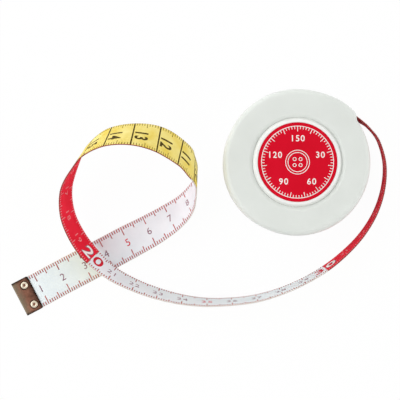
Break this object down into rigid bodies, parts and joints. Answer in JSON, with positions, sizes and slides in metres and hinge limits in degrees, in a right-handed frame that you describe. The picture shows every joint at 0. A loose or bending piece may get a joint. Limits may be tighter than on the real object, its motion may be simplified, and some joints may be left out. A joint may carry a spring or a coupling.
{
  "type": "retractable sewing tape measure",
  "caption": "Round sewing tape measure: two-part white case with a red-topped push button, and a two-sided printed tape pulled out to its riveted end clip.",
  "frame": {"origin": "centre of the case's rear face, which lies on the table", "axes": "+Z along the spool's axis, towards the button; the tape leaves the case on its +X, +Y side and comes round past +X and -Y to its clip on the -X side"},
  "size_m": [0.151, 0.0901, 0.0346],
  "materials": {
    "case_plastic": "satin moulded white plastic",
    "label_print": "printed red disc",
    "tape_cloth": "coated cloth tape, printed white, red and yellow",
    "clip_bronze": "antique bronze sheet",
    "rivet_nickel": "nickel-plated eyelets",
    "spool_plastic": "moulded grey plastic",
    "spring_steel": "bright spring steel",
    "pad_rubber": "black rubber"
  },
  "bodies": {
    "case": {"rear_shell": "case_plastic", "front_shell": "case_plastic", "spring_arbor": "spool_plastic", "arbor_screw": "spring_steel", "tape_lead_in": "tape_cloth", "tape_free": "tape_cloth", "end_clip": "clip_bronze", "clip_rivet_1": "rivet_nickel", "clip_rivet_2": "rivet_nickel", "button_spring": "spring_steel"},
    "spool": {"spool_drum": "spool_plastic", "spool_cover": "spool_plastic", "power_spring": "spring_steel", "tape_anchor_pin": "spring_steel", "tape_winding": "tape_cloth"},
    "button": {"push_button": "case_plastic", "button_label": "label_print", "brake_disc": "spool_plastic", "brake_pad": "pad_rubber", "retaining_ring": "spring_steel"}
  },
  "joints": [
    {"name": "spool_spin", "type": "hinge", "parent": "case", "child": "spool", "pos_m": [0, 0, 0.01], "axis": [0, 0, -1], "range_deg": [-880, 2980], "deforming": ["power_spring"]},
    {"name": "button_press", "type": "slide", "parent": "case", "child": "button", "axis": [0, 0, -1], "range_m": [0, 0.0014], "stiffness_N_per_m": 300, "springref_m": -0.0005, "deforming": ["button_spring"]}
  ]
}
